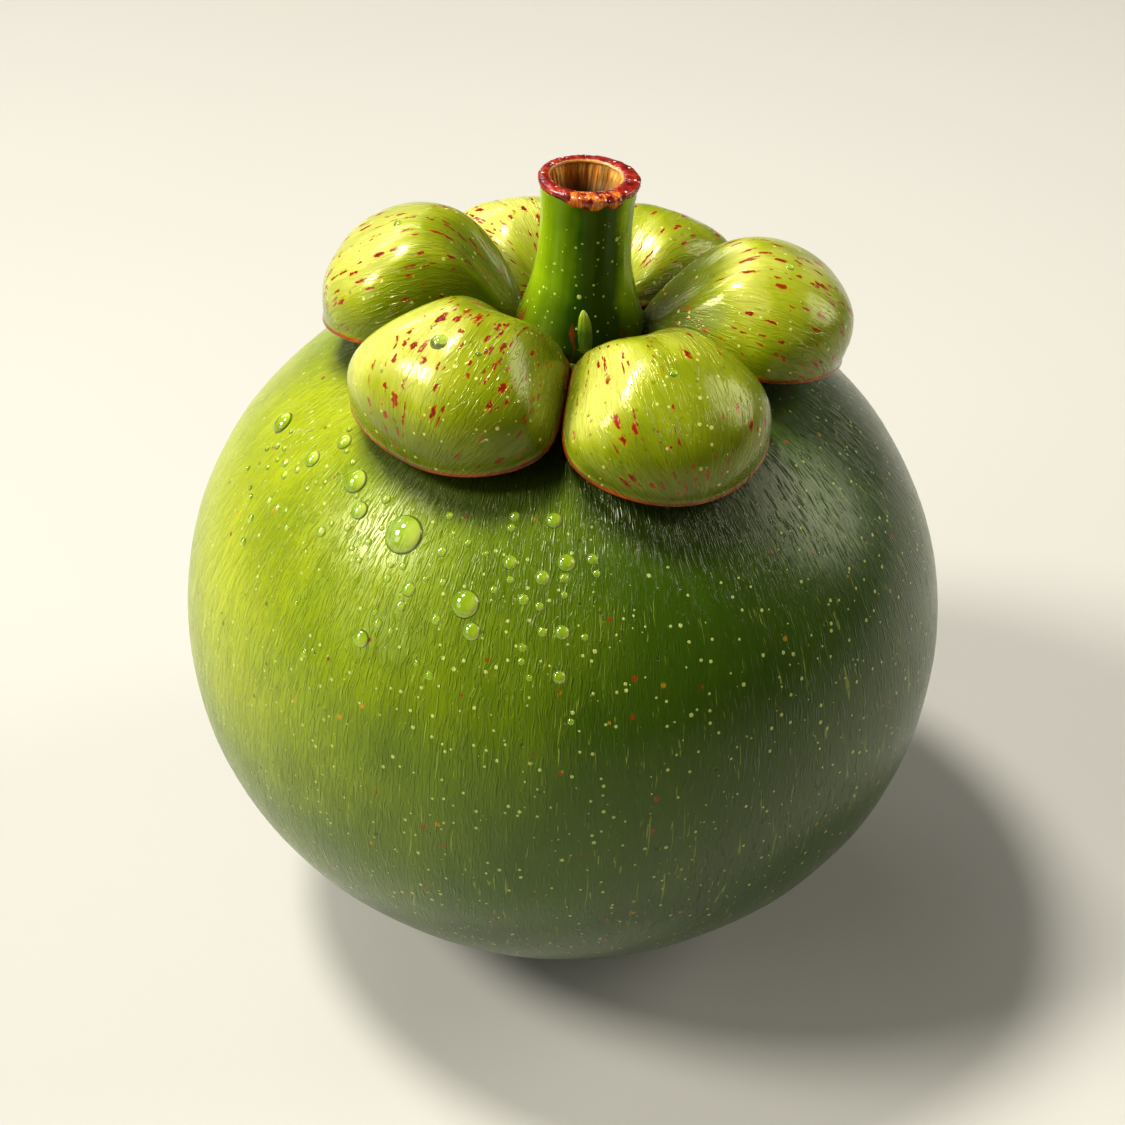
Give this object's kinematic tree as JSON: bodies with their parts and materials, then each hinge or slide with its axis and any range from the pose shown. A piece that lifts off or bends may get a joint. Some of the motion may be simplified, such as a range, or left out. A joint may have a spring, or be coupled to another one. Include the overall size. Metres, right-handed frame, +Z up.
{
  "type": "mangosteen",
  "caption": "Whole green mangosteen standing on its blossom end, with swollen calyx lobes round a short, thick, hollow-ended stalk.",
  "frame": {"origin": "middle of the flat spot under the stigma scar that the fruit rests on", "axes": "+Z up along the height of the fruit towards the stalk, -Y towards the front of the fruit, where the torn lip of the stalk and its small bract are, +X to the right seen from the front"},
  "size_m": [0.0602, 0.0598, 0.0641],
  "materials": {
    "rind": "smooth, waxy green fruit skin with fine pale pores and a few brown specks",
    "calyx": "glossy yellow-green, finely striped along each lobe, speckled crimson, thin red-brown rim",
    "stalk": "glossy deep green skin with pale pores, crimson and orange-brown at the torn cut end",
    "stigma_scar": "dry, matt, corky brown",
    "water_drops": "clear water"
  },
  "bodies": {
    "root": {"stigma_scar": "stigma_scar", "rind": "rind", "calyx_lobe_front_right": "calyx", "calyx_lobe_right": "calyx", "calyx_lobe_back_right": "calyx", "calyx_lobe_back_left": "calyx", "calyx_lobe_left": "calyx", "calyx_lobe_front_left": "calyx", "stalk": "stalk"}
  },
  "joints": []
}
